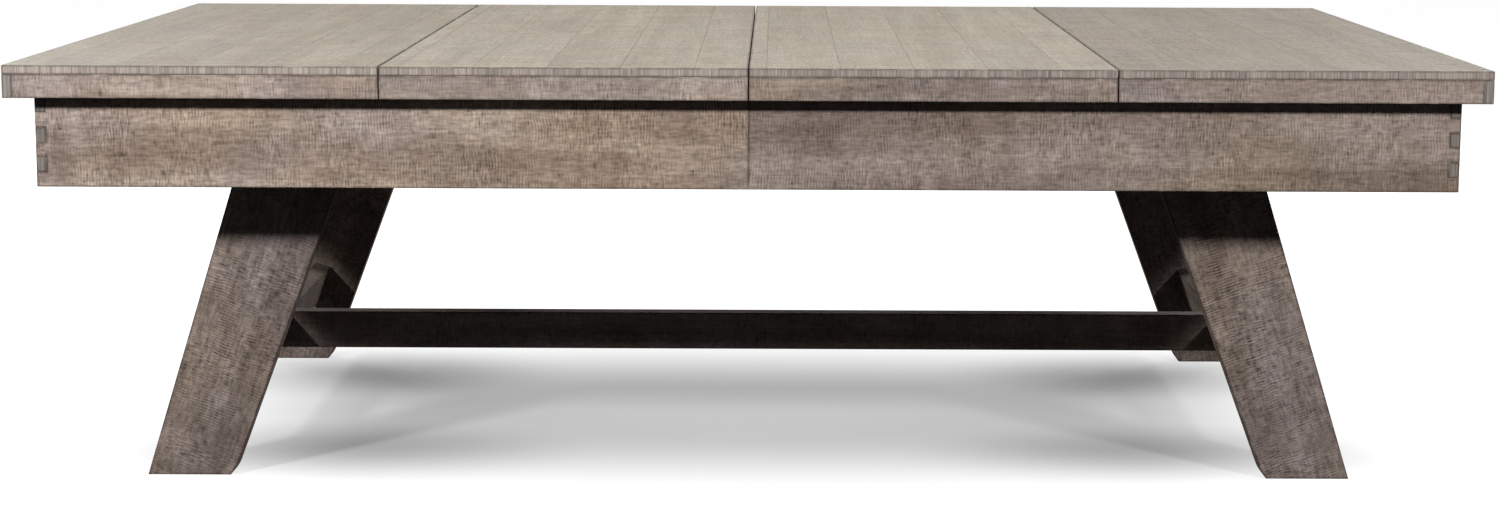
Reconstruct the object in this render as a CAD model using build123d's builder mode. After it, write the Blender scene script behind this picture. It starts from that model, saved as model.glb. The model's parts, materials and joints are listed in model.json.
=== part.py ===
from build123d import *
import os
from math import atan, cos, radians, sin, sqrt, tan

# Pool table on two leaning plank trestles, closed with a four-panel dining top.
# Millimetres. The origin is on the floor under the middle of the table, X runs
# along the length (+X right), Y across it (-Y is the front), Z up.

# ---------------------------------------------------------------- driving sizes
# Dining top
top_length = 2642.0
top_width = 1524.0
top_height = 800.0
slab_thick = 16.0
skirt_thick = 18.0
skirt_bottom = 741.5
inner_panel_width = 655.2  # the two outer panels share the rest
panel_gap = 2.4
pad_thick = 3.0
pad_width = 40.0
pad_inset = 12.0  # from a panel's joint to the end of its felt pad
pad_corner = 4.0
end_pad_length = 894.0

# Playing surface
play_length = 2236.0  # from cushion nose to cushion nose
play_width = 1118.0
bed_height = 740.0  # the cloth's upper face
cloth_thick = 1.0
slate_thick = 25.0
backing_thick = 19.0
slate_margin = 106.0  # slate beyond the cushion noses
slate_gap = 0.4

# Rails and cushions
rail_width = 126.0
rail_height = 41.0
rail_ease = 3.0
cushion_width = 48.0
nose_low = 34.0  # cushion section, heights above the bed
nose_high = 38.0
cushion_top = 40.5
cushion_bottom = 14.0
sight_radius = 5.5
sight_depth = 3.0
sight_offset = 94.0  # from the nose to the sights
bolt_offset = 73.0  # from the nose to the rail bolts
side_bolt_x = (205.0, 559.0, 913.0)  # rail bolts along each side rail

# Pockets
pocket_cut = 62.0  # radius cut out of slate, cloth, rails and cushions
pocket_outer = 61.0
pocket_wall = 4.0
pocket_floor = 5.0
pocket_bottom = 622.0
pocket_round = 16.0
corner_offset = 30.0  # corner pocket centre outside both nose lines
side_offset = 45.0  # side pocket centre outside the nose line
corner_mouth = 118.0
side_mouth = 130.0
corner_facing = 38.0  # angle between nose line and cushion end, degrees
side_facing = 76.0
pocket_collar = 118.0  # half the arc of the collar behind a pocket, degrees

# Cabinet
cabinet_length = 2549.0
cabinet_width = 1454.0
cabinet_bottom = 578.0
board = 19.0
finger_count = 6
block_leg = 60.0
splice_length = 300.0
splice_thick = 18.0
splice_margin = 8.0

# Frame under the slate
beam = 62.0
beam_height = 49.0
long_beam_outer = 502.0  # outer face of the two long beams, and the planks' inner face
cross_beam_far = 1000.0
ledger = 42.0

# Trestles
plank = 38.0
foot_outer = 1138.7
foot_inner = 976.5  # where the straight inner edge would meet the floor
foot_end = 982.5  # where the eased corner meets the floor
foot_ease_height = 24.0
outer_slope = 0.3104  # how far the edges lean towards the middle per unit of height
inner_slope = 0.3736
plank_ease = 1.2
upper_beam_width = 130.0
upper_beam_height = 62.0
long_beam_bolt_x = (790.0, 870.0)  # leg bolts into the long beams
upper_bolt_spread = 35.0  # leg bolts into the upper cross beams, each side of the plank's middle
lower_beam_height = 81.0
lower_beam_edge = (970.0, 213.0)  # X and Z of its upper inner edge
stretcher_bottom = 136.5
edge_ease = 1.0
finger_ease = 0.8
plane_tolerance = 0.01  # how near a face must be to its plane to count as on it

# Hardware
bolt_radius = 5.0
bolt_length = 75.0
bolt_clearance = 0.6
hex_across = 17.0
hex_height = 6.4
washer_radius = 10.5
washer_thick = 2.0
bolt_tip_room = 1.0
dowel_radius = 6.0
dowel_length = 48.0
dowel_spread = 22.0  # each side of the section's middle
bolt_spread = 18.0  # the stretcher's bolts, likewise
screw_radius = 3.0
screw_head = 6.0
screw_length = 76.0
screw_clearance = 0.2
screw_rows = (-590.0, -300.0, 300.0, 590.0)  # Y of the slate screws
screw_from_joint = 16.0  # from a slate joint to the screws each side of it
leveler_disc = 12.0
leveler_disc_thick = 6.0
leveler_stem = 4.0
leveler_length = 40.0
leveler_room = 1.0
insert_outer = 7.0
insert_bottom = 8.5
insert_length = 22.0
stem_clearance = 0.08

# --------------------------------------------------------------- derived sizes
half_top = top_length / 2
half_width = top_width / 2
slab_bottom = top_height - slab_thick
rail_top = slab_bottom - pad_thick
nose_x = play_length / 2
nose_y = play_width / 2
rail_inner_x = nose_x + cushion_width
rail_inner_y = nose_y + cushion_width
rail_outer_x = rail_inner_x + rail_width
rail_outer_y = rail_inner_y + rail_width
slate_top = bed_height - cloth_thick
slate_bottom = slate_top - slate_thick
backing_bottom = slate_bottom - backing_thick
slate_x = nose_x + slate_margin
slate_y = nose_y + slate_margin
slate_joint = slate_x / 3
beam_bottom = backing_bottom - beam_height
cabinet_x = cabinet_length / 2
cabinet_y = cabinet_width / 2
inside_x = cabinet_x - board
inside_y = cabinet_y - board
finger = (slate_top - cabinet_bottom) / finger_count
long_beam_inner = long_beam_outer - beam
ledger_x = inside_x - ledger
plank_outer = long_beam_outer + plank
upper_beam_bottom = beam_bottom - upper_beam_height
corner_centre = (nose_x + corner_offset, nose_y + corner_offset)
side_centre = (0.0, nose_y + side_offset)
lean = atan((outer_slope + inner_slope) / 2)
SIDES = (("left", -1), ("right", 1))
ROWS = (("front", -1), ("back", 1))
panel_edges = (-half_top, -inner_panel_width, 0.0, inner_panel_width, half_top)

pocket_centres = [
    (sx * corner_centre[0], sy * corner_centre[1]) for sx in (-1, 1) for sy in (-1, 1)
]
pocket_centres += [(0.0, -side_centre[1]), side_centre]

# Rail bolts and sights: three to a rail, the middle one halfway between pockets.
end_bolts = [
    (sx * (nose_x + bolt_offset), y)
    for sx in (-1, 1)
    for y in (-play_width / 4, 0.0, play_width / 4)
]
side_bolts = [
    (sx * x, sy * (nose_y + bolt_offset))
    for sx in (-1, 1)
    for sy in (-1, 1)
    for x in side_bolt_x
]
rail_bolt_places = end_bolts + side_bolts
end_sights = [
    (sx * (nose_x + sight_offset), y)
    for sx in (-1, 1)
    for y in (-play_width / 4, 0.0, play_width / 4)
]
side_sights = [
    (sx * play_length * k / 8, sy * (nose_y + sight_offset))
    for sx in (-1, 1)
    for sy in (-1, 1)
    for k in (1, 2, 3)
]
sight_places = end_sights + side_sights

# Screws that hold the slates down, over the cross beams.
cross_beam_places = (-cross_beam_far, -slate_joint, slate_joint, cross_beam_far)
slate_screw_places = [
    (sx * x, y)
    for sx in (-1, 1)
    for x in (cross_beam_far, slate_joint + screw_from_joint, slate_joint - screw_from_joint)
    for y in screw_rows
]

# Leg bolts, as X and Z: two into the long beam and two into the upper cross beam.
long_beam_bolts = tuple((x, beam_bottom + beam_height / 2) for x in long_beam_bolt_x)
upper_mid_z = upper_beam_bottom + upper_beam_height / 2
leg_top_middle = (foot_outer + foot_inner - (outer_slope + inner_slope) * upper_mid_z) / 2
upper_beam_bolts = tuple(
    (leg_top_middle + d, upper_mid_z) for d in (-upper_bolt_spread, upper_bolt_spread)
)
leg_bolt_places = long_beam_bolts + upper_beam_bolts
bolt_depth = bolt_length - washer_thick - plank + bolt_tip_room  # past the plank or beam it clamps
leveler_x = (foot_outer + foot_end) / 2
leveler_y = (long_beam_outer + plank_outer) / 2

# Along the lower cross beam's section: the dowels in its ends, and the stretcher's bolts.
dowel_places = (lower_beam_height / 2 - dowel_spread, lower_beam_height / 2 + dowel_spread)
stretcher_bolt_places = (lower_beam_height / 2 - bolt_spread, lower_beam_height / 2 + bolt_spread)

os.makedirs("parts", exist_ok=True)


def save(builder, node):
    """Label a finished piece and write it under its node's name."""
    builder.part.label = node
    export_step(builder.part, f"parts/{node}.step")


def slab_between(x, y, z):
    """Add a square-edged block to the open part, from three (low, high) pairs."""
    with BuildSketch(Plane.XY.offset(z[0])) as base:
        with Locations(((x[0] + x[1]) / 2, (y[0] + y[1]) / 2)):
            Rectangle(x[1] - x[0], y[1] - y[0])
    extrude(base.sketch, amount=z[1] - z[0])


def span(a, b):
    """A (low, high) pair from two ends in either order."""
    return (min(a, b), max(a, b))


def cut_rounds(places, radius, low, high):
    """Cut upright round holes at the places, from one height to another."""
    with BuildSketch(Plane.XY.offset(low)) as rounds:
        with Locations(*places):
            Circle(radius)
    extrude(rounds.sketch, amount=high - low, mode=Mode.SUBTRACT)


def near(places, x, y):
    """The places that fall within a footprint given by two (low, high) pairs."""
    return [p for p in places if x[0] < p[0] < x[1] and y[0] < p[1] < y[1]]


def beam_point(side, along, through):
    """X and Z of a point on a lower cross beam's tilted section.

    It is counted from the upper inner edge: along the lean towards the floor,
    and through the thickness towards the table's end.
    """
    x = lower_beam_edge[0] + along * sin(lean) + through * cos(lean)
    z = lower_beam_edge[1] - along * cos(lean) + through * sin(lean)
    return (side * x, z)


def drill(place, direction, radius, depth):
    """Cut a round hole from a point on a face, straight into the piece."""
    with BuildSketch(Plane(origin=place, z_dir=direction)) as mouth:
        Circle(radius)
    extrude(mouth.sketch, amount=depth, mode=Mode.SUBTRACT)


# ------------------------------------------------------------------ dining top
# Each panel is a slab with a skirt under its front and back edges. The outer
# panels also have an end skirt, which runs the full width past the other two.
for index in range(4):
    number = index + 1
    x_low = panel_edges[index] + (panel_gap / 2 if index > 0 else 0.0)
    x_high = panel_edges[index + 1] - (panel_gap / 2 if index < 3 else 0.0)

    with BuildPart() as top_slab:
        slab_between((x_low, x_high), (-half_width, half_width), (slab_bottom, top_height))
        chamfer(top_slab.edges(), edge_ease)
    save(top_slab, f"top_slab_{number}")

    skirt_x = (
        x_low + (skirt_thick if index == 0 else 0.0),
        x_high - (skirt_thick if index == 3 else 0.0),
    )
    for row, sy in ROWS:
        with BuildPart() as skirt:
            skirt_y = span(sy * half_width, sy * (half_width - skirt_thick))
            slab_between(skirt_x, skirt_y, (skirt_bottom, slab_bottom))
            outer_face = skirt.faces().sort_by(Axis.Y)[0 if sy < 0 else -1]
            chamfer(outer_face.edges().filter_by(Axis.X), edge_ease)
        save(skirt, f"top_{row}_skirt_{number}")

    # Felt pads: one strip on each side rail, and one on the end rail of an outer panel.
    pad_x = (max(x_low, -rail_outer_x) + pad_inset, min(x_high, rail_outer_x) - pad_inset)
    pad_mid_y = rail_outer_y - pad_width
    with BuildPart() as pads:
        with BuildSketch(Plane.XY.offset(rail_top)):
            with Locations(
                ((pad_x[0] + pad_x[1]) / 2, -pad_mid_y), ((pad_x[0] + pad_x[1]) / 2, pad_mid_y)
            ):
                RectangleRounded(pad_x[1] - pad_x[0], pad_width, pad_corner)
            if index in (0, 3):
                side = -1 if index == 0 else 1
                with Locations((side * (rail_outer_x - pad_width), 0.0)):
                    RectangleRounded(pad_width, end_pad_length, pad_corner)
        extrude(amount=pad_thick)
    save(pads, f"top_pads_{number}")

for side, sx in SIDES:
    with BuildPart() as end_skirt:
        slab_between(
            span(sx * half_top, sx * (half_top - skirt_thick)),
            (-half_width, half_width),
            (skirt_bottom, slab_bottom),
        )
        outer_face = end_skirt.faces().sort_by(Axis.X)[0 if sx < 0 else -1]
        chamfer(outer_face.edges(), edge_ease)
    save(end_skirt, f"top_end_skirt_{side}")

# ----------------------------------------------------------------------- rails
# Six rail boards, mitred at the corners and butted behind the side pockets.
def rail(outline, axis, outward):
    """A rail from its plan outline, with the pocket, bolt and sight holes cut."""
    with BuildPart() as board_piece:
        with BuildSketch(Plane.XY.offset(bed_height)):
            with BuildLine():
                Polyline(*outline, close=True)
            make_face()
        extrude(amount=rail_height)
        outer = board_piece.edges().filter_by(axis).sort_by(outward)[-2:]
        chamfer(outer.sort_by(Axis.Z)[-1:], rail_ease)
        cut_rounds(pocket_centres, pocket_cut, bed_height, rail_top)
        bolt_top = backing_bottom + bolt_length
        cut_rounds(rail_bolt_places, bolt_radius, bed_height, bolt_top)
        cut_rounds(sight_places, sight_radius, rail_top - sight_depth, rail_top)
    return board_piece


for side, sx in SIDES:
    outline = [
        (sx * rail_outer_x, -rail_outer_y),
        (sx * rail_outer_x, rail_outer_y),
        (sx * rail_inner_x, rail_inner_y),
        (sx * rail_inner_x, -rail_inner_y),
    ]
    outward = Axis((0, 0, 0), (sx, 0, 0))
    save(rail(outline, Axis.Y, outward), f"end_rail_{side}")
    for row, sy in ROWS:
        outline = [
            (0.0, sy * rail_outer_y),
            (sx * rail_outer_x, sy * rail_outer_y),
            (sx * rail_inner_x, sy * rail_inner_y),
            (0.0, sy * rail_inner_y),
        ]
        outward = Axis((0, 0, 0), (0, sy, 0))
        save(rail(outline, Axis.X, outward), f"side_rail_{row}_{side}")

# ------------------------------------------------------------------- cushions
# Rubber noses along the rails. The section is a wedge with its point at the nose,
# and the ends are cut at the pocket angles.
section = (
    (0.0, nose_low),
    (0.0, nose_high),
    (cushion_width, cushion_top),
    (cushion_width, cushion_bottom),
)
corner_reach = corner_mouth / sqrt(2)
corner_run = cushion_width / tan(radians(corner_facing))
side_run = cushion_width / tan(radians(side_facing))

end_cushion_pieces = []
for side, sx in SIDES:
    nose_end = nose_y - corner_reach
    back_end = nose_end + corner_run
    with BuildPart() as cushion:
        with BuildSketch(Plane.XZ.offset(-back_end)):
            with BuildLine():
                Polyline(*[(sx * (nose_x + d), bed_height + h) for d, h in section], close=True)
            make_face()
        extrude(amount=2 * back_end)
        with BuildSketch(Plane.XY.offset(bed_height)):
            with BuildLine():
                Polyline(
                    (sx * nose_x, -nose_end),
                    (sx * nose_x, nose_end),
                    (sx * rail_inner_x, back_end),
                    (sx * rail_inner_x, -back_end),
                    close=True,
                )
            make_face()
        extrude(amount=rail_height, mode=Mode.INTERSECT)
        cut_rounds(pocket_centres, pocket_cut, bed_height, rail_top)
    end_cushion_pieces.append(cushion.part)

with BuildPart() as end_cushions:
    add(end_cushion_pieces)
save(end_cushions, "end_cushions")

far_nose = nose_x - corner_reach
far_back = far_nose + corner_run
near_nose = side_mouth / 2
near_back = near_nose - side_run
side_cushion_pieces = []
for side, sx in SIDES:
    for row, sy in ROWS:
        with BuildPart() as cushion:
            with BuildSketch(Plane.YZ.offset(sx * near_back)):
                with BuildLine():
                    Polyline(
                        *[(sy * (nose_y + d), bed_height + h) for d, h in section], close=True
                    )
                make_face()
            extrude(amount=sx * (far_back - near_back))
            with BuildSketch(Plane.XY.offset(bed_height)):
                with BuildLine():
                    Polyline(
                        (sx * near_nose, sy * nose_y),
                        (sx * far_nose, sy * nose_y),
                        (sx * far_back, sy * rail_inner_y),
                        (sx * near_back, sy * rail_inner_y),
                        close=True,
                    )
                make_face()
            extrude(amount=rail_height, mode=Mode.INTERSECT)
            cut_rounds(pocket_centres, pocket_cut, bed_height, rail_top)
        side_cushion_pieces.append(cushion.part)

with BuildPart() as side_cushions:
    add(side_cushion_pieces)
save(side_cushions, "side_cushions")

with BuildPart() as rail_sights:
    with BuildSketch(Plane.XY.offset(rail_top - sight_depth)):
        with Locations(*sight_places):
            Circle(sight_radius)
    extrude(amount=sight_depth)
save(rail_sights, "rail_sights")


# -------------------------------------------------------------------- pockets
# A cup below the slate, whose wall goes on up as a collar behind the pocket.
pocket_inner = pocket_outer - pocket_wall
floor_top = pocket_bottom + pocket_floor
with BuildPart() as cup:
    with BuildSketch(Plane.XZ) as wall:
        with BuildLine():
            Polyline(
                (0, pocket_bottom),
                (pocket_outer, pocket_bottom),
                (pocket_outer, slate_top),
                (pocket_inner, slate_top),
                (pocket_inner, floor_top),
                (0, floor_top),
                close=True,
            )
        make_face()
        outer_corner = wall.vertices().sort_by_distance((pocket_outer, pocket_bottom))[0]
        fillet(outer_corner, pocket_round)
        inner_corner = wall.vertices().sort_by_distance((pocket_inner, floor_top))[0]
        fillet(inner_corner, pocket_round - pocket_wall)
    revolve(axis=Axis.Z)
    with BuildSketch(Plane.XZ):
        with Locations((pocket_outer - pocket_wall / 2, (slate_top + rail_top) / 2)):
            Rectangle(pocket_wall, rail_top - slate_top)
    revolve(axis=Axis.Z, revolution_arc=2 * pocket_collar)


def add_pocket(centre, outward_degrees):
    """Add one pocket to the open part, with its collar round the outward side."""
    turn = outward_degrees - pocket_collar
    with Locations(Location((centre[0], centre[1], 0), (0, 0, turn))):
        add(cup.part)


with BuildPart() as corner_pockets:
    for sx, sy, turn in ((1, 1, 45), (-1, 1, 135), (-1, -1, 225), (1, -1, 315)):
        add_pocket((sx * corner_centre[0], sy * corner_centre[1]), turn)
save(corner_pockets, "corner_pockets")

with BuildPart() as side_pockets:
    add_pocket(side_centre, 90)
    add_pocket((0.0, -side_centre[1]), 270)
save(side_pockets, "side_pockets")

# -------------------------------------------------- cloth, slates and backing
slate_spans = (
    ("left", (-slate_x, -slate_joint - slate_gap / 2)),
    ("centre", (-slate_joint + slate_gap / 2, slate_joint - slate_gap / 2)),
    ("right", (slate_joint + slate_gap / 2, slate_x)),
)
bolt_hole = bolt_radius + bolt_clearance
screw_hole = screw_radius + screw_clearance

with BuildPart() as bed_cloth:
    slab_between((-slate_x, slate_x), (-slate_y, slate_y), (slate_top, bed_height))
    cut_rounds(pocket_centres, pocket_cut, slate_top, bed_height)
    cut_rounds(rail_bolt_places, bolt_hole, slate_top, bed_height)
save(bed_cloth, "bed_cloth")

for name, (x_low, x_high) in slate_spans:
    footprint = ((x_low, x_high), (-slate_y, slate_y))
    with BuildPart() as slate:
        slab_between(*footprint, (slate_bottom, slate_top))
        cut_rounds(pocket_centres, pocket_cut, slate_bottom, slate_top)
        cut_rounds(near(rail_bolt_places, *footprint), bolt_hole, slate_bottom, slate_top)
        with Locations(*[(x, y, slate_top) for x, y in near(slate_screw_places, *footprint)]):
            CounterSinkHole(screw_hole, screw_head + screw_clearance, depth=slate_thick)
    save(slate, f"slate_{name}")

with BuildPart() as slate_backing:
    for name, (x_low, x_high) in slate_spans:
        slab_between((x_low, x_high), (-slate_y, slate_y), (backing_bottom, slate_bottom))
    cut_rounds(pocket_centres, pocket_cut, backing_bottom, slate_bottom)
    cut_rounds(rail_bolt_places, bolt_hole, backing_bottom, slate_bottom)
    cut_rounds(slate_screw_places, screw_hole, backing_bottom, slate_bottom)
save(slate_backing, "slate_backing")

with BuildPart() as screw:
    with BuildSketch(Plane.XZ):
        with BuildLine():
            Polyline(
                (0, 0),
                (screw_head, 0),
                (screw_radius, screw_radius - screw_head),
                (screw_radius, screw_head - screw_length),
                (0, -screw_length),
                close=True,
            )
        make_face()
    revolve(axis=Axis.Z)

with BuildPart() as slate_screws:
    with Locations(*[(x, y, slate_top) for x, y in slate_screw_places]):
        add(screw.part)
save(slate_screws, "slate_screws")

# ----------------------------------------------------- frame under the slates
# Two long beams carry four cross beams in half laps, and ledgers close the ends.
lap_height = beam_bottom + beam_height / 2
for row, sy in ROWS:
    beam_y = span(sy * long_beam_inner, sy * long_beam_outer)
    with BuildPart() as long_beam:
        slab_between((-ledger_x, ledger_x), beam_y, (beam_bottom, backing_bottom))
        with BuildSketch(Plane.XY.offset(lap_height)):
            with Locations(*[(x, sy * (long_beam_inner + beam / 2)) for x in cross_beam_places]):
                Rectangle(beam, beam)
        extrude(amount=beam_height / 2, mode=Mode.SUBTRACT)
        with BuildSketch(Plane.XZ.offset(-sy * long_beam_outer)):
            with Locations(*[(sx * x, z) for sx in (-1, 1) for x, z in long_beam_bolts]):
                Circle(bolt_radius)
        extrude(amount=sy * bolt_depth, mode=Mode.SUBTRACT)
    save(long_beam, f"bed_beam_{row}")

with BuildPart() as bed_cross_beams:
    for x in cross_beam_places:
        slab_between(
            (x - beam / 2, x + beam / 2), (-inside_y, inside_y), (beam_bottom, backing_bottom)
        )
    with BuildSketch(Plane.XY.offset(beam_bottom)):
        middle = long_beam_inner + beam / 2
        with Locations(*[(x, sy * middle) for x in cross_beam_places for sy in (-1, 1)]):
            Rectangle(beam, beam)
    extrude(amount=beam_height / 2, mode=Mode.SUBTRACT)
    for side, sx in SIDES:
        slab_between(
            span(sx * ledger_x, sx * inside_x), (-inside_y, inside_y), (beam_bottom, backing_bottom)
        )
    screw_low = slate_top - screw_length
    cut_rounds(slate_screw_places, screw_radius, screw_low, backing_bottom)
save(bed_cross_beams, "bed_cross_beams")


# -------------------------------------------------------------------- cabinet
# Boards joined with square fingers at the corners. The long sides are in two
# boards each. Their fingers are the first, third and fifth from the bottom.
def cut_fingers(x, y, first):
    """Cut every second finger slot, counted from the bottom, out of a footprint."""
    for level in range(first, finger_count, 2):
        with BuildSketch(Plane.XY.offset(cabinet_bottom + level * finger)) as slot:
            with Locations(((x[0] + x[1]) / 2, (y[0] + y[1]) / 2)):
                Rectangle(x[1] - x[0], y[1] - y[0])
        extrude(slot.sketch, amount=finger, mode=Mode.SUBTRACT)


def shown_edges(solid, face_axis, face_at, tip_axis, tips_at):
    """The edges of a cabinet board's outer face and of its finger tips, once each."""
    flat = [f for f in solid.faces().filter_by(face_axis) if near_to(f, face_axis, face_at)]
    tips = [f for f in solid.faces().filter_by(tip_axis) if near_to(f, tip_axis, tips_at)]
    return list({edge: None for f in flat + tips for edge in f.edges()})


def near_to(face, axis, places):
    """True if a flat face stands at one of the places along an axis."""
    centre = face.center()
    at = centre.X if axis == Axis.X else centre.Y
    return any(abs(at - place) < plane_tolerance for place in places)


for side, sx in SIDES:
    corner_x = span(sx * inside_x, sx * cabinet_x)
    for row, sy in ROWS:
        board_y = span(sy * inside_y, sy * cabinet_y)
        with BuildPart() as long_board:
            slab_between(span(0.0, sx * cabinet_x), board_y, (cabinet_bottom, slate_top))
            cut_fingers(corner_x, board_y, first=1)
            shown = shown_edges(long_board, Axis.Y, [sy * cabinet_y], Axis.X, [sx * cabinet_x])
            chamfer(shown, finger_ease)
        save(long_board, f"cabinet_{row}_{side}")
    with BuildPart() as end_board:
        slab_between(corner_x, (-cabinet_y, cabinet_y), (cabinet_bottom, slate_top))
        for row, sy in ROWS:
            cut_fingers(corner_x, span(sy * inside_y, sy * cabinet_y), first=0)
        both_ends = [-cabinet_y, cabinet_y]
        shown = shown_edges(end_board, Axis.X, [sx * cabinet_x], Axis.Y, both_ends)
        chamfer(shown, finger_ease)
    save(end_board, f"cabinet_end_{side}")

# Glue blocks: one in each corner, and a splice plate behind each seam.
with BuildPart() as cabinet_blocks:
    for side, sx in SIDES:
        for row, sy in ROWS:
            with BuildSketch(Plane.XY.offset(upper_beam_bottom)):
                with BuildLine():
                    Polyline(
                        (sx * inside_x, sy * inside_y),
                        (sx * (inside_x - block_leg), sy * inside_y),
                        (sx * inside_x, sy * (inside_y - block_leg)),
                        close=True,
                    )
                make_face()
            extrude(amount=upper_beam_height)
    for row, sy in ROWS:
        slab_between(
            (-splice_length / 2, splice_length / 2),
            span(sy * inside_y, sy * (inside_y - splice_thick)),
            (cabinet_bottom + splice_margin, slate_top - splice_margin),
        )
save(cabinet_blocks, "cabinet_blocks")

# ------------------------------------------------------------------- trestles
# Four tapered planks that lean inwards, in two pairs.
for side, sx in SIDES:
    for row, sy in ROWS:
        with BuildPart() as leg:
            with BuildSketch(Plane.XZ.offset(-sy * plank_outer)):
                top = backing_bottom
                ease_start = (sx * (foot_inner - inner_slope * foot_ease_height), foot_ease_height)
                with BuildLine():
                    Polyline(
                        (sx * foot_end, 0),
                        (sx * foot_outer, 0),
                        (sx * (foot_outer - outer_slope * top), top),
                        (sx * (foot_inner - inner_slope * top), top),
                        ease_start,
                    )
                    TangentArc(ease_start, (sx * foot_end, 0), tangent=(sx * inner_slope, -1))
                make_face()
            extrude(amount=sy * plank)
            flat_faces = leg.faces().filter_by(Axis.Y)
            chamfer(flat_faces.edges(), plank_ease)
            with BuildSketch(Plane.XZ.offset(-sy * plank_outer)):
                with Locations(*[(sx * x, z) for x, z in leg_bolt_places]):
                    Circle(bolt_radius + bolt_clearance)
            extrude(amount=sy * plank, mode=Mode.SUBTRACT)
            for along in dowel_places:
                x, z = beam_point(sx, along, plank / 2)
                drill((x, sy * long_beam_outer, z), (0, sy, 0), dowel_radius, dowel_length / 2)
            place = [(sx * leveler_x, sy * leveler_y)]
            cut_rounds(place, leveler_disc + leveler_room, 0, leveler_disc_thick + leveler_room)
            cut_rounds(place, insert_outer, 0, insert_bottom + insert_length)
            cut_rounds(place, leveler_stem + leveler_room, 0, leveler_length + leveler_room)
        save(leg, f"leg_{row}_{side}")

# Beams between the planks of each pair: one under the frame and one near the floor.
with BuildPart() as upper_cross_beams:
    for sx in (-1, 1):
        middle = sx * leg_top_middle
        slab_between(
            (middle - upper_beam_width / 2, middle + upper_beam_width / 2),
            (-long_beam_outer, long_beam_outer),
            (upper_beam_bottom, beam_bottom),
        )
        for sy in (-1, 1):
            for x, z in upper_beam_bolts:
                drill((sx * x, sy * long_beam_outer, z), (0, -sy, 0), bolt_radius, bolt_depth)
save(upper_cross_beams, "upper_cross_beams")

for side, sx in SIDES:
    with BuildPart() as lower_beam:
        corners = (
            beam_point(sx, 0, 0),
            beam_point(sx, lower_beam_height, 0),
            beam_point(sx, lower_beam_height, plank),
            beam_point(sx, 0, plank),
        )
        with BuildSketch(Plane.XZ.offset(long_beam_outer)):
            with BuildLine():
                Polyline(*corners, close=True)
            make_face()
        extrude(amount=-2 * long_beam_outer)
        chamfer(lower_beam.edges().filter_by(Axis.Y), edge_ease)
        for along in stretcher_bolt_places:
            x, z = beam_point(sx, along, 0)
            outward = (sx * cos(lean), 0, sin(lean))
            drill((x, 0, z), outward, bolt_radius + bolt_clearance, plank)
        for along in dowel_places:
            x, z = beam_point(sx, along, plank / 2)
            for sy in (-1, 1):
                drill((x, sy * long_beam_outer, z), (0, -sy, 0), dowel_radius, dowel_length / 2)
    save(lower_beam, f"lower_cross_beam_{side}")

# The stretcher, with its ends cut to the slant of the two lower beams.
with BuildPart() as stretcher:
    top_x, stretcher_top = lower_beam_edge
    foot_x = top_x + (stretcher_top - stretcher_bottom) * tan(lean)
    with BuildSketch(Plane.XZ.offset(plank / 2)):
        with BuildLine():
            Polyline(
                (-top_x, stretcher_top),
                (top_x, stretcher_top),
                (foot_x, stretcher_bottom),
                (-foot_x, stretcher_bottom),
                close=True,
            )
        make_face()
    extrude(amount=-plank)
    chamfer(stretcher.edges().filter_by(Axis.X), edge_ease)
    for side, sx in SIDES:
        for along in stretcher_bolt_places:
            x, z = beam_point(sx, along, 0)
            inward = (-sx * cos(lean), 0, -sin(lean))
            drill((x, 0, z), inward, bolt_radius, bolt_depth)
save(stretcher, "stretcher")

# ------------------------------------------------------------------- hardware
with BuildPart() as beam_dowels:
    for side, sx in SIDES:
        for along in dowel_places:
            x, z = beam_point(sx, along, plank / 2)
            for sy in (-1, 1):
                start = sy * (long_beam_outer - dowel_length / 2)
                with BuildSketch(Plane(origin=(x, start, z), z_dir=(0, sy, 0))):
                    Circle(dowel_radius)
                extrude(amount=dowel_length)
save(beam_dowels, "beam_dowels")

# One hex bolt with its washer, head up, standing on the face that it clamps.
with BuildPart() as bolt:
    with BuildSketch(Plane.XY.offset(washer_thick - bolt_length)):
        Circle(bolt_radius)
    extrude(amount=bolt_length)
    with BuildSketch(Plane.XY):
        Circle(washer_radius)
    extrude(amount=washer_thick)
    with BuildSketch(Plane.XY.offset(washer_thick)):
        RegularPolygon(hex_across / 2, 6, major_radius=False)
    extrude(amount=hex_height)

rail_bolt_seats = [Plane(origin=(x, y, backing_bottom), z_dir=(0, 0, -1)) for x, y in rail_bolt_places]
leg_bolt_seats = [
    Plane(origin=(sx * x, sy * plank_outer, z), z_dir=(0, sy, 0))
    for sx in (-1, 1)
    for sy in (-1, 1)
    for x, z in leg_bolt_places
]
stretcher_bolt_seats = []
for sx in (-1, 1):
    for along in stretcher_bolt_places:
        x, z = beam_point(sx, along, plank)
        outward = (sx * cos(lean), 0, sin(lean))
        stretcher_bolt_seats.append(Plane(origin=(x, 0, z), z_dir=outward))

with BuildPart() as hex_bolts:
    with Locations(*rail_bolt_seats, *leg_bolt_seats, *stretcher_bolt_seats):
        add(bolt.part)
save(hex_bolts, "hex_bolts")

# Levelling feet: a disc on a screw, wound up flush into each plank's end.
for side, sx in SIDES:
    for row, sy in ROWS:
        with BuildPart() as leveler:
            with BuildSketch(Plane.XY):
                with Locations((sx * leveler_x, sy * leveler_y)):
                    Circle(leveler_disc)
            extrude(amount=leveler_disc_thick)
            chamfer(leveler.edges().group_by(Axis.Z)[0], edge_ease)
            with BuildSketch(Plane.XY.offset(leveler_disc_thick)):
                with Locations((sx * leveler_x, sy * leveler_y)):
                    Circle(leveler_stem)
            extrude(amount=leveler_length - leveler_disc_thick)
        save(leveler, f"leveler_{row}_{side}")

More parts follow.
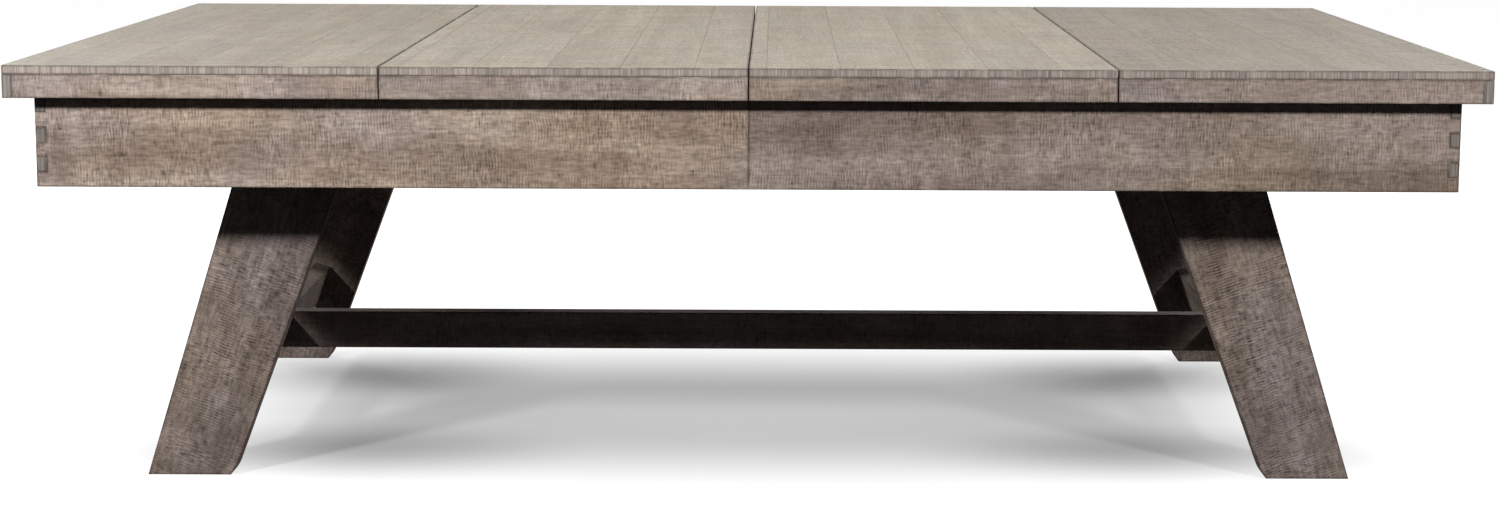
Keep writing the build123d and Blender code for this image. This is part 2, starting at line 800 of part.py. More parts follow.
with BuildPart() as leveler_inserts:
    leveler_places = [(sx * leveler_x, sy * leveler_y) for sx in (-1, 1) for sy in (-1, 1)]
    with BuildSketch(Plane.XY.offset(insert_bottom)):
        with Locations(*leveler_places):
            Circle(insert_outer)
            Circle(leveler_stem + stem_clearance, mode=Mode.SUBTRACT)
    extrude(amount=insert_length)
save(leveler_inserts, "leveler_inserts")
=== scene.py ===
import json
import math
import random

import bmesh
import bpy
from mathutils import Matrix, Vector

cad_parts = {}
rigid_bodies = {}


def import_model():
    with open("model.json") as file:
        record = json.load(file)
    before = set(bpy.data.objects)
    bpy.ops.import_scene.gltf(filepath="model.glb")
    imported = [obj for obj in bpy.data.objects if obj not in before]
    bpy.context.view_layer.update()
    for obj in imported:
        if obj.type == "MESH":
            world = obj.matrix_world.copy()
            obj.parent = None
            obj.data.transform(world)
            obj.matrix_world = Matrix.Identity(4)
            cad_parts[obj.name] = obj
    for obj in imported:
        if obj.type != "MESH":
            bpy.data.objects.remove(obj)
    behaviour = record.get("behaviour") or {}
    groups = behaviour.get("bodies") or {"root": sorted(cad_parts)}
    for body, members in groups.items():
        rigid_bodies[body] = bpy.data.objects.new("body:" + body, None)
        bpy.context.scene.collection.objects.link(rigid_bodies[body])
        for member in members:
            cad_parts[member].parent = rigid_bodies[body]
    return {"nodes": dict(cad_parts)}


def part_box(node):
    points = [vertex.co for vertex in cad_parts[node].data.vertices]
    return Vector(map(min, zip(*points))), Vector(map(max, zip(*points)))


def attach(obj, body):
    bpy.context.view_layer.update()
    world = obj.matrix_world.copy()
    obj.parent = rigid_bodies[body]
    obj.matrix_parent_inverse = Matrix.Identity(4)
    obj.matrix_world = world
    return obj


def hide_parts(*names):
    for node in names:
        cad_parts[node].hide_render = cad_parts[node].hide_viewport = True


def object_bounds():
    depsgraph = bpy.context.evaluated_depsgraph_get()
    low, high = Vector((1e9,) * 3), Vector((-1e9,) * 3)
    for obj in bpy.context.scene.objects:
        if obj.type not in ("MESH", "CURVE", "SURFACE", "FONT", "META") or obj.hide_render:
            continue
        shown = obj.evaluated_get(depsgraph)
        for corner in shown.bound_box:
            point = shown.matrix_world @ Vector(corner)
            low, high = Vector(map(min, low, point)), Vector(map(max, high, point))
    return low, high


# A pool table closed with a four-panel dining top, in weathered rough-sawn wood.
# Metres. The CAD nodes carry every hard shape; the cloth, the cushions, the leather
# pockets and the felt pads are modelled here in place of their CAD solids.

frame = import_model()
cad_low, cad_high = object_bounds()
nodes = frame["nodes"]

# ------------------------------------------------------------------ sizes in use
bed_low, bed_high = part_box("bed_cloth")
rail_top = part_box("end_rail_left")[1].z
cushion_width = 0.048
nose_x = -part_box("end_cushions")[0].x - cushion_width
nose_y = -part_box("side_cushions")[0].y - cushion_width
pocket_cut = 0.062  # radius cut out of the cloth
pocket_outer = 0.061
pocket_inner = 0.057
corner_out = 0.030  # pocket centres outside the nose lines
side_out = 0.045
corner_mouth = 0.118  # between the ends of two cushion noses
side_mouth = 0.130
corner_angle = math.radians(38)  # of a cushion's end to its nose line
side_angle = math.radians(76)
lean_outer = 0.3104  # how far a plank's edges lean in per unit of height
lean_inner = 0.3736
lean = math.atan((lean_outer + lean_inner) / 2)


# --------------------------------------------------------------- material tools
class Graph:
    """Short hand for building one material's node tree."""

    def __init__(self, name):
        self.material = bpy.data.materials.new(name)
        self.material.use_nodes = True
        self.tree = self.material.node_tree
        self.tree.nodes.clear()
        self.shader = self.tree.nodes.new("ShaderNodeBsdfPrincipled")
        output = self.tree.nodes.new("ShaderNodeOutputMaterial")
        self.tree.links.new(self.shader.outputs["BSDF"], output.inputs["Surface"])
        self.where = self.tree.nodes.new("ShaderNodeTexCoord")

    def put(self, socket, value):
        """Sets a socket, or links it if the value is another node's output."""
        if isinstance(value, bpy.types.NodeSocket):
            self.tree.links.new(value, socket)
        else:
            socket.default_value = value

    def math(self, operation, a, b=0.0, c=0.0):
        node = self.tree.nodes.new("ShaderNodeMath")
        node.operation = operation
        for socket, value in zip(node.inputs, (a, b, c)):
            self.put(socket, value)
        return node.outputs[0]

    def vector(self, operation, a, b):
        node = self.tree.nodes.new("ShaderNodeVectorMath")
        node.operation = operation
        self.put(node.inputs[0], a)
        self.put(node.inputs[1], b)
        return node.outputs["Value"] if operation == "DOT_PRODUCT" else node.outputs["Vector"]

    def combine(self, x, y, z):
        node = self.tree.nodes.new("ShaderNodeCombineXYZ")
        for socket, value in zip(node.inputs, (x, y, z)):
            self.put(socket, value)
        return node.outputs[0]

    def noise(self, vector, scale, detail=2.0, rough=0.5, warp=0.0):
        """Noise of about 0 to 1, stretched by a scale along each board axis."""
        node = self.tree.nodes.new("ShaderNodeTexNoise")
        self.put(node.inputs["Vector"], self.vector("MULTIPLY", vector, scale))
        node.inputs["Scale"].default_value = 1.0
        node.inputs["Detail"].default_value = detail
        node.inputs["Roughness"].default_value = rough
        node.inputs["Distortion"].default_value = warp
        return node.outputs["Fac"]

    def span(self, value, low, high, to_low=0.0, to_high=1.0):
        """Maps low..high smoothly onto to_low..to_high, held at both ends."""
        node = self.tree.nodes.new("ShaderNodeMapRange")
        node.interpolation_type = "SMOOTHSTEP"
        for name, v in (
            ("Value", value),
            ("From Min", low),
            ("From Max", high),
            ("To Min", to_low),
            ("To Max", to_high),
        ):
            self.put(node.inputs[name], v)
        return node.outputs[0]

    def ramp(self, value, stops):
        node = self.tree.nodes.new("ShaderNodeValToRGB")
        elements = node.color_ramp.elements
        while len(elements) < len(stops):
            elements.new(0.5)
        for element, (position, colour) in zip(elements, stops):
            element.position = position
            element.color = (*colour, 1.0)
        self.put(node.inputs[0], value)
        return node.outputs[0]

    def mix(self, factor, a, b, blend="MIX"):
        node = self.tree.nodes.new("ShaderNodeMix")
        node.data_type = "RGBA"
        node.blend_type = blend
        node.clamp_factor = True
        self.put(node.inputs[0], factor)
        for socket, value in ((node.inputs[6], a), (node.inputs[7], b)):
            self.put(socket, (*value, 1.0) if isinstance(value, tuple) else value)
        return node.outputs[2]

    def scaled(self, colour, factor):
        """A colour brightened or darkened by a number."""
        grey = self.combine(factor, factor, factor)
        return self.mix(1.0, colour, grey, "MULTIPLY")

    def bump(self, height, distance, strength=1.0):
        node = self.tree.nodes.new("ShaderNodeBump")
        node.inputs["Strength"].default_value = strength
        node.inputs["Distance"].default_value = distance
        self.put(node.inputs["Height"], height)
        self.put(self.shader.inputs["Normal"], node.outputs["Normal"])

    def edges(self, radius):
        """About 1 on the arrises within a radius, 0 on the flat."""
        node = self.tree.nodes.new("ShaderNodeBevel")
        node.samples = 4
        node.inputs["Radius"].default_value = radius
        shape = self.tree.nodes.new("ShaderNodeNewGeometry")
        even = self.vector("DOT_PRODUCT", node.outputs[0], shape.outputs["Normal"])
        return self.span(even, 0.998, 0.925)


def paint(name, material):
    """Gives a CAD node's object a material in each of its slots."""
    for slot in nodes[name].material_slots:
        slot.link = "OBJECT"
        slot.material = material


X = Vector((1, 0, 0))
Y = Vector((0, 1, 0))
Z = Vector((0, 0, 1))
places = random.Random(41)


def board_axes(along, across):
    """Grain direction, direction across the face, and direction through the board."""
    return along.normalized(), across.normalized(), along.cross(across).normalized()


def weathered(
    name,
    axes,
    dark,
    mid,
    light,
    end,
    saw=1.0,
    planks=0.0,
    blotches=1.0,
    mark=55.0,
    clouds=1.0,
):
    """Weathered grey-brown wood, cross-cut by a coarse saw.

    The grain runs along the first axis. Fine saw marks cross it, in bands that
    come and go, over long tonal streaks, blotches and small pits. A plank is the
    width of the strips glued up in a slab, and a mark is how finely the saw marks
    break up across the board.
    """
    g = Graph(name)
    point = g.where.outputs["Object"]
    parts = [g.vector("DOT_PRODUCT", point, tuple(axis)) for axis in axes]
    shifts = [places.uniform(-40.0, 40.0) for _ in range(3)]
    u, v, w = [g.math("ADD", part, shift) for part, shift in zip(parts, shifts)]
    joint = None
    tone_shift = 0.0
    if planks:
        row = g.math("FLOOR", g.math("DIVIDE", v, planks))
        pick = g.tree.nodes.new("ShaderNodeTexWhiteNoise")
        pick.noise_dimensions = "1D"
        g.put(pick.inputs["W"], row)
        pick = pick.outputs["Value"]
        tone_shift = g.math("MULTIPLY", g.math("SUBTRACT", pick, 0.5), 0.020)
        u = g.math("ADD", u, g.math("MULTIPLY", pick, 9.0))
        inside = g.math("FRACT", g.math("DIVIDE", v, planks))
        gap = g.math("MINIMUM", inside, g.math("SUBTRACT", 1.0, inside))
        joint = g.span(gap, 0.0012 / planks, 0.0)
    board = g.combine(u, v, w)

    streak = g.noise(board, (0.9, 15.0, 15.0), 3.0, 0.55, 0.4)
    blotch = g.noise(board, (9.0, 13.0, 13.0), 4.0, 0.62, 0.5)
    band = g.noise(board, (26.0, 5.5, 5.5), 3.0, 0.65)
    tone = g.math("MULTIPLY", streak, 0.46)
    tone = g.math("MULTIPLY_ADD", blotch, 0.36, tone)
    tone = g.math("MULTIPLY_ADD", band, 0.18, tone)
    spread = 0.19 / blotches
    tone = g.math("ADD", tone, tone_shift)
    tone = g.span(tone, 0.5 - spread, 0.5 + spread)
    colour = g.ramp(tone, ((0.0, dark), (0.5, mid), (1.0, light)))

    # Pinker and greyer clouds over the brown.
    cloud = g.noise(board, (3.1, 5.0, 5.0), 2.0, 0.5)
    warm = tuple(1.0 + clouds * c for c in (0.035, 0.0, -0.06))
    cool = tuple(1.0 + clouds * c for c in (-0.015, -0.01, 0.06))
    hue = g.ramp(g.span(cloud, 0.35, 0.65), ((0.0, warm), (1.0, cool)))
    colour = g.mix(1.0, colour, hue, "MULTIPLY")

    # Saw marks across the grain, and fine fibres along it.
    teeth = g.noise(board, (330.0, mark, mark), 1.0, 0.6)
    patchy = g.span(g.noise(board, (11.0, 7.0, 7.0), 2.0, 0.5), 0.36, 0.66, 0.35, 1.0)
    teeth = g.math("MULTIPLY", g.math("SUBTRACT", teeth, 0.5), patchy)
    fibre = g.math("SUBTRACT", g.noise(board, (5.0, 300.0, 300.0), 2.0, 0.6), 0.5)
    weave = g.math("SUBTRACT", g.noise(board, (46.0, 170.0, 170.0), 2.0, 0.65), 0.5)
    sway = g.noise(board, (5.0, 22.0, 22.0), 2.0, 0.5)
    comb = g.math("SINE", g.math("MULTIPLY_ADD", u, 1150.0, g.math("MULTIPLY", sway, 14.0)))
    combed = g.span(g.noise(board, (15.0, 24.0, 24.0), 2.0, 0.6), 0.44, 0.64)
    comb = g.math("MULTIPLY", comb, combed)
    fine = g.math("MULTIPLY", teeth, 1.45 * saw)
    fine = g.math("MULTIPLY_ADD", comb, 0.15 * saw, fine)
    fine = g.math("MULTIPLY_ADD", fibre, 0.42, fine)
    fine = g.math("MULTIPLY_ADD", weave, 1.1 * saw, fine)
    pits = g.noise(board, (210.0, 120.0, 120.0), 1.0, 0.5)
    pit = g.span(pits, 0.70, 0.78)
    fleck = g.math("MULTIPLY", g.span(pits, 0.27, 0.20), patchy)
    factor = g.math("ADD", 1.0, fine)
    factor = g.math("MULTIPLY_ADD", pit, -0.34, factor)
    factor = g.math("MULTIPLY_ADD", fleck, 0.40, factor)
    colour = g.scaled(colour, factor)

    # End grain: greyer, with short stripes from the saw.
    facing = g.vector("DOT_PRODUCT", g.where.outputs["Normal"], tuple(axes[0]))
    cut = g.span(g.math("ABSOLUTE", facing), 0.80, 0.95)
    stripes = g.noise(board, (20.0, 330.0, 9.0), 2.0, 0.6)
    patch = g.noise(board, (5.0, 14.0, 6.0), 2.0, 0.5)
    pale = g.math("MULTIPLY_ADD", g.math("SUBTRACT", stripes, 0.5), 1.9, 1.0)
    pale = g.math("MULTIPLY_ADD", g.math("SUBTRACT", patch, 0.5), 0.7, pale)
    ends = g.mix(1.0, g.combine(pale, pale, pale), end, "MULTIPLY")
    colour = g.mix(cut, colour, ends)

    # Arrises darkened, as painted shade in the seams between boards and as soiling, and made paler
    # here and there, as wear and as a painted highlight.
    arris = g.edges(0.0062)
    edge_wear_and_light = g.noise(board, (26.0, 26.0, 26.0), 2.0)
    soiled_and_seam_shade = g.math("MULTIPLY", arris, g.span(edge_wear_and_light, 0.64, 0.46, 0.66, 1.0))
    # Painted shade along the arrises and seams, with soiling.
    colour = g.mix(soiled_and_seam_shade, colour, tuple(0.36 * c for c in dark))
    rubbed_and_highlight = g.math("MULTIPLY", arris, g.span(edge_wear_and_light, 0.54, 0.70))
    # Painted highlight along the arrises, with wear.
    colour = g.mix(g.math("MULTIPLY", rubbed_and_highlight, 0.35), colour, tuple(1.3 * c for c in light))
    if joint is not None:
        colour = g.mix(g.math("MULTIPLY", joint, 0.34), colour, tuple(0.45 * c for c in dark))
    g.put(g.shader.inputs["Base Color"], colour)

    gloss = g.math("MULTIPLY_ADD", fine, -0.25, 0.68)
    g.put(g.shader.inputs["Roughness"], g.math("MULTIPLY_ADD", blotch, 0.08, gloss))
    g.shader.inputs["Specular IOR Level"].default_value = 0.18
    height = g.math("MULTIPLY", teeth, 0.8 * saw)
    height = g.math("MULTIPLY_ADD", comb, 0.12 * saw, height)
    height = g.math("MULTIPLY_ADD", fibre, 0.35, height)
    height = g.math("MULTIPLY_ADD", weave, 0.30, height)
    height = g.math("MULTIPLY_ADD", pit, -0.5, height)
    if joint is not None:
        height = g.math("MULTIPLY_ADD", joint, -1.2, height)
    g.bump(height, 0.0009, 0.75)
    return g.material


def raw_wood(name, axes, dark, light):
    """Plain planed timber of the hidden frame, with rings showing on its ends."""
    g = Graph(name)
    point = g.where.outputs["Object"]
    parts = [g.vector("DOT_PRODUCT", point, tuple(axis)) for axis in axes]
    shifts = [places.uniform(-40.0, 40.0) for _ in range(3)]
    u, v, w = [g.math("ADD", part, shift) for part, shift in zip(parts, shifts)]
    board = g.combine(u, v, w)
    rings = g.tree.nodes.new("ShaderNodeTexWave")
    rings.wave_type = "RINGS"
    rings.rings_direction = "X"
    g.put(rings.inputs["Vector"], g.vector("MULTIPLY", board, (0.25, 1.0, 1.0)))
    rings.inputs["Scale"].default_value = 60.0
    rings.inputs["Distortion"].default_value = 7.0
    rings.inputs["Detail"].default_value = 2.0
    rings.inputs["Detail Scale"].default_value = 0.6
    broad = g.noise(board, (1.2, 12.0, 12.0), 3.0, 0.55, 0.5)
    fibre = g.noise(board, (8.0, 420.0, 420.0), 2.0, 0.6)
    tone = g.math("MULTIPLY_ADD", broad, 0.6, g.math("MULTIPLY", rings.outputs["Fac"], 0.35))
    tone = g.math("MULTIPLY_ADD", g.math("SUBTRACT", fibre, 0.5), 0.5, tone)
    colour = g.ramp(g.span(tone, 0.15, 0.85), ((0.0, dark), (1.0, light)))
    g.put(g.shader.inputs["Base Color"], colour)
    g.put(g.shader.inputs["Roughness"], g.math("MULTIPLY_ADD", fibre, 0.12, 0.7))
    g.shader.inputs["Specular IOR Level"].default_value = 0.3
    g.bump(g.math("MULTIPLY_ADD", fibre, 0.6, broad), 0.0004, 0.6)
    return g.material


def plywood(name):
    """Backing board: veneered faces and glued layers on its edges."""
    g = Graph(name)
    point = g.where.outputs["Object"]
    facing = g.vector("DOT_PRODUCT", g.where.outputs["Normal"], (0.0, 0.0, 1.0))
    upright = g.math("ABSOLUTE", facing)
    broad = g.noise(point, (2.0, 22.0, 2.0), 3.0, 0.55, 1.2)
    fibre = g.noise(point, (14.0, 500.0, 14.0), 2.0, 0.6)
    face = g.ramp(
        g.math("MULTIPLY_ADD", fibre, 0.35, g.math("MULTIPLY", broad, 0.65)),
        ((0.30, (0.30, 0.195, 0.105)), (0.68, (0.50, 0.355, 0.215))),
    )
    height = g.vector("DOT_PRODUCT", point, (0.0, 0.0, 1.0))
    layer = g.math("FRACT", g.math("MULTIPLY", height, 1.0 / 0.0029))
    plies = g.ramp(layer, ((0.42, (0.42, 0.30, 0.18)), (0.58, (0.20, 0.125, 0.07))))
    speck = g.noise(point, (600.0, 600.0, 90.0), 2.0, 0.6)
    plies = g.scaled(plies, g.span(speck, 0.25, 0.75, 0.75, 1.2))
    g.put(g.shader.inputs["Base Color"], g.mix(g.span(upright, 0.4, 0.6), plies, face))
    g.put(g.shader.inputs["Roughness"], g.span(fibre, 0.2, 0.8, 0.62, 0.82))
    g.bump(fibre, 0.0003, 0.6)
    return g.material


def stone(name):
    """Honed grey slate."""
    g = Graph(name)
    point = g.where.outputs["Object"]
    cloud = g.noise(point, (5.0, 5.0, 5.0), 5.0, 0.6, 0.6)
    grit = g.noise(point, (420.0, 420.0, 420.0), 2.0, 0.6)
    vein = g.noise(point, (2.0, 18.0, 18.0), 4.0, 0.6, 1.6)
    tone = g.math("MULTIPLY_ADD", grit, 0.35, g.math("MULTIPLY", cloud, 0.65))
    colour = g.ramp(tone, ((0.32, (0.048, 0.053, 0.058)), (0.68, (0.115, 0.121, 0.126))))
    colour = g.mix(g.span(vein, 0.60, 0.68, 0.0, 0.5), colour, (0.16, 0.165, 0.17))
    g.put(g.shader.inputs["Base Color"], colour)
    g.put(g.shader.inputs["Roughness"], g.span(grit, 0.2, 0.8, 0.5, 0.72))
    g.bump(grit, 0.0003, 0.5)
    return g.material


def baize(name, base, light):
    """Napped wool cloth: a fine twill under a brushed nap."""
    g = Graph(name)
    point = g.where.outputs["Object"]
    x = g.vector("DOT_PRODUCT", point, (1.0, 0.0, 0.0))
    y = g.vector("DOT_PRODUCT", point, (0.0, 1.0, 0.0))
    z = g.vector("DOT_PRODUCT", point, (0.0, 0.0, 1.0))
    rib = g.math("SINE", g.math("MULTIPLY", g.math("ADD", g.math("ADD", x, y), z), 5200.0))
    cross = g.math("SINE", g.math("MULTIPLY", g.math("SUBTRACT", x, y), 3900.0))
    nap = g.noise(point, (900.0, 500.0, 900.0), 2.0, 0.7)
    brushed = g.noise(point, (3.0, 9.0, 9.0), 3.0, 0.55, 0.5)
    tone = g.math("MULTIPLY_ADD", nap, 0.55, g.math("MULTIPLY", brushed, 0.45))
    tone = g.math("MULTIPLY_ADD", g.math("MULTIPLY", rib, cross), 0.05, tone)
    g.put(g.shader.inputs["Base Color"], g.ramp(tone, ((0.28, base), (0.72, light))))
    g.put(g.shader.inputs["Roughness"], g.span(nap, 0.2, 0.8, 0.85, 1.0))
    g.shader.inputs["Specular IOR Level"].default_value = 0.15
    g.shader.inputs["Sheen Weight"].default_value = 0.25
    g.shader.inputs["Sheen Roughness"].default_value = 0.45
    g.shader.inputs["Sheen Tint"].default_value = (*light, 1.0)
    g.bump(g.math("MULTIPLY_ADD", rib, 0.2, nap), 0.0003, 0.6)
    return g.material


def leather(name):
    """Dark brown pocket leather with a pebbled grain."""
    g = Graph(name)
    point = g.where.outputs["Object"]
    cells = g.tree.nodes.new("ShaderNodeTexVoronoi")
    cells.feature = "DISTANCE_TO_EDGE"
    g.put(cells.inputs["Vector"], point)
    cells.inputs["Scale"].default_value = 620.0
    crease = g.span(cells.outputs["Distance"], 0.0, 0.16)
    cloud = g.noise(point, (22.0, 22.0, 22.0), 4.0, 0.6)
    colour = g.ramp(cloud, ((0.34, (0.022, 0.014, 0.010)), (0.66, (0.060, 0.036, 0.024))))
    colour = g.mix(g.span(crease, 0.0, 1.0, 0.55, 0.0), colour, (0.012, 0.008, 0.006))
    scuff = g.math("MULTIPLY", g.edges(0.0025), g.span(cloud, 0.4, 0.65))
    colour = g.mix(g.math("MULTIPLY", scuff, 0.55), colour, (0.16, 0.105, 0.07))
    g.put(g.shader.inputs["Base Color"], colour)
    g.put(g.shader.inputs["Roughness"], g.span(cloud, 0.3, 0.7, 0.38, 0.58))
    g.bump(g.math("MULTIPLY_ADD", cloud, 0.4, crease), 0.0004, 0.7)
    return g.material


def fuzzy(name, base, light):
    """Pressed felt of the pads."""
    g = Graph(name)
    point = g.where.outputs["Object"]
    hair = g.noise(point, (700.0, 700.0, 700.0), 4.0, 0.75, 1.5)
    lump = g.noise(point, (60.0, 60.0, 60.0), 3.0, 0.6)
    tone = g.math("MULTIPLY_ADD", hair, 0.7, g.math("MULTIPLY", lump, 0.3))
    g.put(g.shader.inputs["Base Color"], g.ramp(tone, ((0.3, base), (0.7, light))))
    g.put(g.shader.inputs["Roughness"], g.span(hair, 0.2, 0.8, 0.88, 1.0))
    g.shader.inputs["Sheen Weight"].default_value = 0.3
    g.bump(hair, 0.0006, 0.8)
    return g.material


def metal(name, dark, light, rough):
    """Plated steel with handling marks."""
    g = Graph(name)
    point = g.where.outputs["Object"]
    cloud = g.noise(point, (70.0, 70.0, 70.0), 4.0, 0.6)
    scratch = g.noise(point, (900.0, 60.0, 300.0), 2.0, 0.6)
    tone = g.math("MULTIPLY_ADD", scratch, 0.45, g.math("MULTIPLY", cloud, 0.55))
    g.put(g.shader.inputs["Base Color"], g.ramp(tone, ((0.32, dark), (0.68, light))))
    g.put(g.shader.inputs["Roughness"], g.span(scratch, 0.2, 0.8, rough - 0.08, rough + 0.12))
    g.shader.inputs["Metallic"].default_value = 1.0
    g.bump(scratch, 0.0001, 0.5)
    return g.material


def pearl(name):
    """Mother-of-pearl resin of the rail sights."""
    g = Graph(name)
    point = g.where.outputs["Object"]
    swirl = g.noise(point, (180.0, 260.0, 180.0), 4.0, 0.6, 3.0)
    colour = g.ramp(
        swirl, ((0.30, (0.52, 0.50, 0.47)), (0.50, (0.80, 0.79, 0.75)), (0.70, (0.62, 0.68, 0.69)))
    )
    g.put(g.shader.inputs["Base Color"], colour)
    g.put(g.shader.inputs["Roughness"], g.span(swirl, 0.3, 0.7, 0.16, 0.30))
    g.shader.inputs["Coat Weight"].default_value = 0.5
    return g.material


# -------------------------------------------------------------- the wood finish
# Each board has its own material, so that no two boards show the same figure.
long_axes = board_axes(X, Z)
end_axes = board_axes(Y, X)

# Each finish is a dark, a middle and a light colour.
TOP = ((0.205, 0.178, 0.143), (0.250, 0.221, 0.180), (0.300, 0.268, 0.222))
SKIRT = ((0.165, 0.127, 0.106), (0.245, 0.198, 0.170), (0.345, 0.292, 0.256))
CABINET = ((0.120, 0.087, 0.066), (0.192, 0.150, 0.120), (0.275, 0.226, 0.186))
LEG = ((0.105, 0.078, 0.064), (0.165, 0.130, 0.110), (0.235, 0.192, 0.168))
SLAB_END = (0.285, 0.240, 0.212)
SKIRT_END = (0.17, 0.145, 0.13)
END_SKIRT_END = (0.195, 0.172, 0.156)
CABINET_END = (0.148, 0.130, 0.116)
RAIL_END = (0.13, 0.11, 0.1)
LEG_END = (0.11, 0.095, 0.085)
BEAM_END = (0.12, 0.1, 0.09)


def tinted(colours, factor):
    return [tuple(factor * c for c in colour) for colour in colours]


# How light each panel's face, end grain and skirt are, from left to right.
panel_tones = (0.94, 1.01, 1.0, 0.84)
edge_tones = (1.08, 0.98, 0.88, 0.88)
skirt_tones = (1.08, 0.98, 0.90, 0.95)
for n, (face, edge, skirt) in enumerate(zip(panel_tones, edge_tones, skirt_tones), 1):
    look = weathered(
        f"top_{n}",
        end_axes,
        *tinted(TOP, face),
        end=tuple(edge * c for c in SLAB_END),
        saw=0.62,
        planks=0.131,
        blotches=0.7,
        mark=5.0,
        clouds=0.35,
    )
    paint(f"top_slab_{n}", look)
    for row in ("front", "back"):
        colours = tinted(SKIRT, skirt)
        look = weathered(f"skirt_{row}_{n}", long_axes, *colours, end=SKIRT_END)
        paint(f"top_{row}_skirt_{n}", look)

cabinet_tones = {"left": 1.29, "right": 1.02}
leg_tones = {"left": 1.0, "right": 0.90}
for side, sx in (("left", -1), ("right", 1)):
    slant = Vector((-sx * math.sin(lean), 0, math.cos(lean)))
    flat = Vector((math.cos(lean), 0, sx * math.sin(lean)))
    look = weathered(f"end_skirt_{side}", end_axes, *SKIRT, end=END_SKIRT_END)
    paint(f"top_end_skirt_{side}", look)
    look = weathered(f"cabinet_end_{side}", end_axes, *CABINET, end=CABINET_END)
    paint(f"cabinet_end_{side}", look)
    look = weathered(f"rail_end_{side}", end_axes, *CABINET, end=RAIL_END, saw=0.5)
    paint(f"end_rail_{side}", look)
    for row in ("front", "back"):
        name = f"cabinet_{row}_{side}"
        colours = tinted(CABINET, cabinet_tones[side])
        paint(name, weathered(name, long_axes, *colours, end=CABINET_END, saw=1.25))
        look = weathered(f"rail_{row}_{side}", board_axes(X, Y), *CABINET, end=RAIL_END, saw=0.5)
        paint(f"side_rail_{row}_{side}", look)
        name = f"leg_{row}_{side}"
        colours = tinted(LEG, leg_tones[side])
        paint(name, weathered(name, board_axes(slant, flat), *colours, end=LEG_END, saw=1.55))
    look = weathered(f"lower_beam_{side}", board_axes(Y, slant), *LEG, end=BEAM_END)
    paint(f"lower_cross_beam_{side}", look)

paint("stretcher", weathered("stretcher", long_axes, *LEG, end=BEAM_END))
paint("upper_cross_beams", weathered("upper_beams", end_axes, *LEG, end=BEAM_END))

# The hidden frame: a dark and a light colour each.
BEAM = ((0.34, 0.235, 0.135), (0.56, 0.43, 0.275))
BLOCK = ((0.28, 0.19, 0.11), (0.48, 0.36, 0.23))
DOWEL = ((0.42, 0.30, 0.18), (0.62, 0.49, 0.33))
across_axes = board_axes(Y, Z)
for row in ("front", "back"):
    paint(f"bed_beam_{row}", raw_wood(f"frame_{row}", long_axes, *BEAM))
paint("bed_cross_beams", raw_wood("frame_cross", across_axes, *BEAM))
paint("cabinet_blocks", raw_wood("blocks", long_axes, *BLOCK))
paint("beam_dowels", raw_wood("dowels", across_axes, *DOWEL))
paint("slate_backing", plywood("backing"))
for name in ("left", "centre", "right"):
    paint(f"slate_{name}", stone(f"slate_{name}"))

zinc = metal("zinc", (0.30, 0.31, 0.33), (0.56, 0.57, 0.59), 0.36)
blacked = metal("black_screw", (0.045, 0.045, 0.048), (0.12, 0.12, 0.125), 0.42)
brass = metal("brass", (0.36, 0.25, 0.10), (0.62, 0.47, 0.22), 0.34)
paint("hex_bolts", zinc)
paint("slate_screws", blacked)
paint("leveler_inserts", brass)
for row in ("front", "back"):
    for side in ("left", "right"):
        paint(f"leveler_{row}_{side}", zinc)
paint("rail_sights", pearl("sight_pearl"))

GREEN, GREEN_LIGHT = (0.022, 0.085, 0.050), (0.048, 0.150, 0.092)
cloth_look = baize("baize", GREEN, GREEN_LIGHT)
leather_look = leather("pocket_leather")
felt_look = fuzzy("felt_grey", (0.030, 0.029, 0.028), (0.095, 0.092, 0.088))


# -------------------------------------------------------------------- mesh tools
def piece(name, mesh, look, body, finish_slot, *replaced):
    """Puts a finished mesh in the scene as one piece of the table."""
    item = bpy.data.objects.new(name, mesh)
    bpy.context.scene.collection.objects.link(item)
    mesh.materials.append(look)
    for face in mesh.polygons:
        face.use_smooth = True
    mesh.set_sharp_from_angle(angle=math.radians(38))
    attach(item, body)
    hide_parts(*replaced)
    return item


def mesh_from(name, build):
    shape = bmesh.new()
    build(shape)
    bmesh.ops.recalc_face_normals(shape, faces=shape.faces)
    mesh = bpy.data.meshes.new(name)
    shape.to_mesh(mesh)
    shape.free()
    return mesh


def loft(shape, rings):
    """Skins a row of closed rings of points, all with the same count."""
    made = [[shape.verts.new(p) for p in ring] for ring in rings]
    for a, b in zip(made, made[1:]):
        count = len(a)
        for i in range(count):
            j = (i + 1) % count
            shape.faces.new((a[i], a[j], b[j], b[i]))
    shape.faces.new(made[0])
    shape.faces.new(reversed(made[-1]))


def body_of_node(name):
    """The body that a CAD node rides on."""
    return nodes[name].parent.name.split("body:")[-1]


ROOT = body_of_node("bed_cloth")
corner_x = nose_x + corner_out
corner_y = nose_y + corner_out
side_y = nose_y + side_out
pockets = [(sx * corner_x, sy * corner_y) for sx in (-1, 1) for sy in (-1, 1)]
pockets += [(0.0, -side_y), (0.0, side_y)]


# --------------------------------------------------------------------- bed cloth
def even_steps(low, high, step):
    """Evenly spaced values from low to high, about a step apart."""
    count = round((high - low) / step)
    return [low + (high - low) * i / count for i in range(count + 1)]


def cloth_shape(shape):
    """The stretched sheet over the slates, before the pockets are cut."""
    step = 0.034
    xs = even_steps(bed_low.x, bed_high.x, step)
    ys = even_steps(bed_low.y, bed_high.y, step)
    grid = [[shape.verts.new((x, y, bed_high.z)) for y in ys] for x in xs]
    for i in range(len(xs) - 1):
        for j in range(len(ys) - 1):
            shape.faces.new((grid[i][j], grid[i + 1][j], grid[i + 1][j + 1], grid[i][j + 1]))


